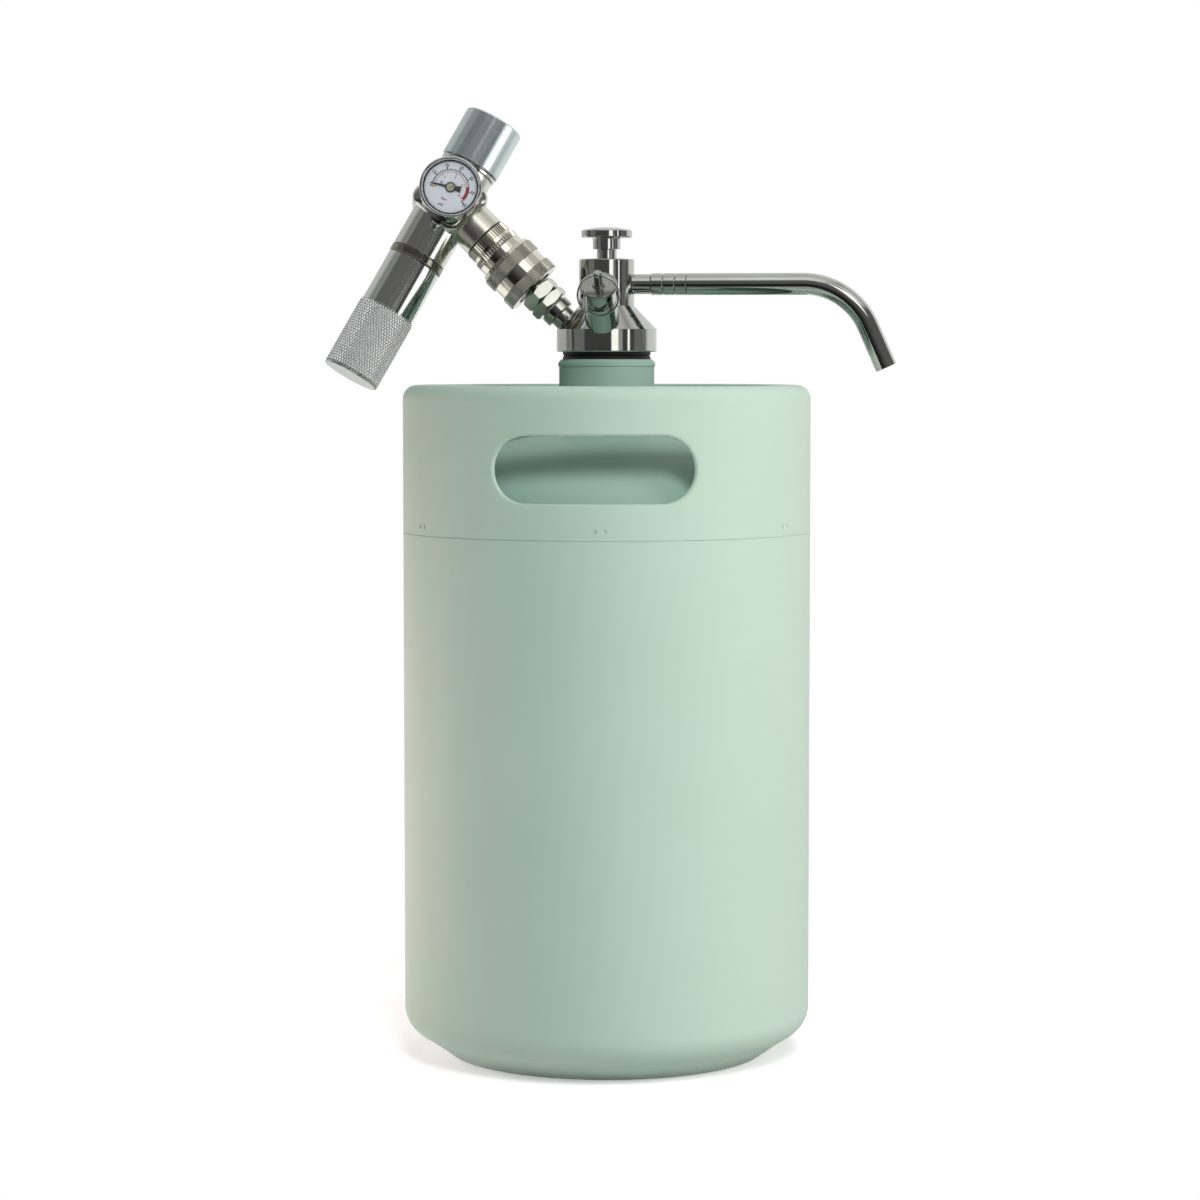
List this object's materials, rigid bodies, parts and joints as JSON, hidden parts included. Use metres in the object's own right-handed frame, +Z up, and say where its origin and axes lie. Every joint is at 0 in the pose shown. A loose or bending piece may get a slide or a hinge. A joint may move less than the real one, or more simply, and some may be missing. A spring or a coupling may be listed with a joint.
{
  "type": "mini keg beer dispenser",
  "caption": "Double-wall mini keg with a hand-slot collar, tap head with swivelling spout, relief valve and a ball-lock gas regulator with gauge and bulb holder.",
  "frame": {"origin": "on the floor at the keg's axis", "axes": "+Z up along the keg, +X the side of the spout, -Y the front with the relief valve and the gauge"},
  "size_m": [0.2507, 0.18, 0.4191],
  "materials": {
    "keg_paint": "matt sage powder coat",
    "vessel_steel": "satin",
    "black_rubber": "matt",
    "head_steel": "fine turned",
    "tube_steel": "polished",
    "seat_plastic": "plain",
    "spring_steel": "bright",
    "nickel": "nickel plate",
    "aluminium_satin": "satin",
    "brass": "plain",
    "gauge_chrome": "polished",
    "lens_glass": "clear",
    "dial_white": "printed",
    "needle_black": "matt",
    "bulb_steel": "zinc plate"
  },
  "bodies": {
    "keg": {"outer_shell": "keg_paint", "shoulder": "keg_paint", "inner_vessel": "vessel_steel", "collar": "keg_paint", "base_pan": "keg_paint", "neck_gasket": "black_rubber", "tap_body": "head_steel", "beer_tube": "tube_steel", "tube_o_ring": "black_rubber", "bonnet": "head_steel", "stem_o_ring": "black_rubber", "spout_nipple": "tube_steel", "spout_o_rings": "black_rubber", "relief_body": "head_steel", "relief_cap": "head_steel", "gas_post": "tube_steel", "post_washer": "seat_plastic", "adapter_nut": "nickel", "coupler_plug": "nickel"},
    "valve_stem": {"valve_stem": "head_steel", "seat_washer": "seat_plastic"},
    "flow_knob": {"flow_knob": "head_steel"},
    "spout": {"spout_ferrule": "tube_steel", "spout_tube": "tube_steel"},
    "relief_pin": {"relief_pin": "head_steel", "relief_seal": "black_rubber", "relief_spring": "spring_steel"},
    "pull_ring": {"pull_ring": "spring_steel"},
    "regulator": {"coupler_body": "nickel", "snap_ring": "spring_steel", "locking_balls": "spring_steel", "coupler_o_ring": "black_rubber", "check_poppet": "brass", "check_spring": "spring_steel", "fluted_adapter": "nickel", "outlet_seal": "black_rubber", "regulator_body": "nickel", "knob_ring": "spring_steel", "piercing_pin": "spring_steel", "bulb_seal": "black_rubber", "lock_ring": "aluminium_satin", "gauge_stem": "nickel", "gauge_case": "gauge_chrome", "gauge_bezel": "gauge_chrome", "gauge_lens": "lens_glass", "lens_gasket": "black_rubber", "gauge_dial": "dial_white", "stop_pin": "brass", "bourdon_tube": "brass"},
    "coupler_sleeve": {"coupler_sleeve": "nickel", "sleeve_spring": "spring_steel"},
    "adjusting_knob": {"adjusting_knob": "aluminium_satin"},
    "pressure_nut": {"pressure_nut": "brass", "adjusting_spring": "spring_steel"},
    "piston": {"piston": "brass", "piston_seal": "black_rubber"},
    "bulb_holder": {"gas_bulb": "bulb_steel"},
    "bulb_sleeve": {"bulb_sleeve": "aluminium_satin"},
    "needle": {"gauge_needle": "needle_black", "needle_hub": "brass"}
  },
  "joints": [
    {"name": "valve_lift", "type": "slide", "parent": "keg", "child": "valve_stem", "axis": [0, 0, 1], "range_m": [0, 0.0015]},
    {"name": "knob_turn", "type": "hinge", "parent": "valve_stem", "child": "flow_knob", "pos_m": [0, 0, 0.36], "axis": [0, 0, 1], "range_deg": [0, 540]},
    {"name": "spout_swing", "type": "hinge", "parent": "keg", "child": "spout", "pos_m": [0, 0, 0.3408], "axis": [0.9945, -0.1045, 0], "range_deg": [-90, 90]},
    {"name": "relief_lift", "type": "slide", "parent": "keg", "child": "relief_pin", "axis": [-0.0739, -0.7032, 0.7071], "range_m": [0, 0.0025], "stiffness_N_per_m": 1500, "springref_m": -0.003},
    {"name": "ring_swing", "type": "hinge", "parent": "relief_pin", "child": "pull_ring", "pos_m": [-0.00386, -0.03671, 0.34391], "axis": [-0.9945, 0.1045, 0], "range_deg": [0, 290]},
    {"name": "regulator_swivel", "type": "hinge", "parent": "keg", "child": "regulator", "pos_m": [-0.03544, 0.00373, 0.34264], "axis": [-0.7032, 0.0739, 0.7071], "continuous": true},
    {"name": "sleeve_pull", "type": "slide", "parent": "regulator", "child": "coupler_sleeve", "axis": [-0.7032, 0.0739, 0.7071], "range_m": [0, 0.0035], "stiffness_N_per_m": 1500, "springref_m": -0.004},
    {"name": "adjust_turn", "type": "hinge", "parent": "regulator", "child": "adjusting_knob", "pos_m": [-0.05522, 0.01254, 0.40283], "axis": [-0.4824, -0.1739, -0.8585], "range_deg": [0, 1080]},
    {"name": "nut_travel", "type": "slide", "parent": "regulator", "child": "pressure_nut", "axis": [-0.4824, -0.1739, -0.8585], "range_m": [0, 0.003]},
    {"name": "piston_travel", "type": "slide", "parent": "regulator", "child": "piston", "axis": [0.4824, 0.1739, 0.8585], "range_m": [0, 0.0008], "stiffness_N_per_m": 4000, "springref_m": -0.002},
    {"name": "bulb_travel", "type": "slide", "parent": "regulator", "child": "bulb_holder", "axis": [-0.4824, -0.1739, -0.8585], "range_m": [0, 0.006]},
    {"name": "bulb_sleeve_turn", "type": "hinge", "parent": "bulb_holder", "child": "bulb_sleeve", "pos_m": [-0.09863, -0.00311, 0.32556], "axis": [-0.4824, -0.1739, -0.8585], "range_deg": [0, 1440]},
    {"name": "needle_turn", "type": "hinge", "parent": "regulator", "child": "needle", "pos_m": [-0.06779, -0.0229, 0.38213], "axis": [-0.062, 0.9844, -0.1646], "range_deg": [0, 218], "stiffness_Nm_per_rad": 0.0002, "springref_deg": -28.65}
  ],
  "couplings": [
    {"joint": "knob_turn", "follows": "valve_lift", "rad_per_m": 6283.2},
    {"joint": "adjust_turn", "follows": "nut_travel", "rad_per_m": 6283.2},
    {"joint": "bulb_sleeve_turn", "follows": "bulb_travel", "rad_per_m": 4188.8}
  ]
}
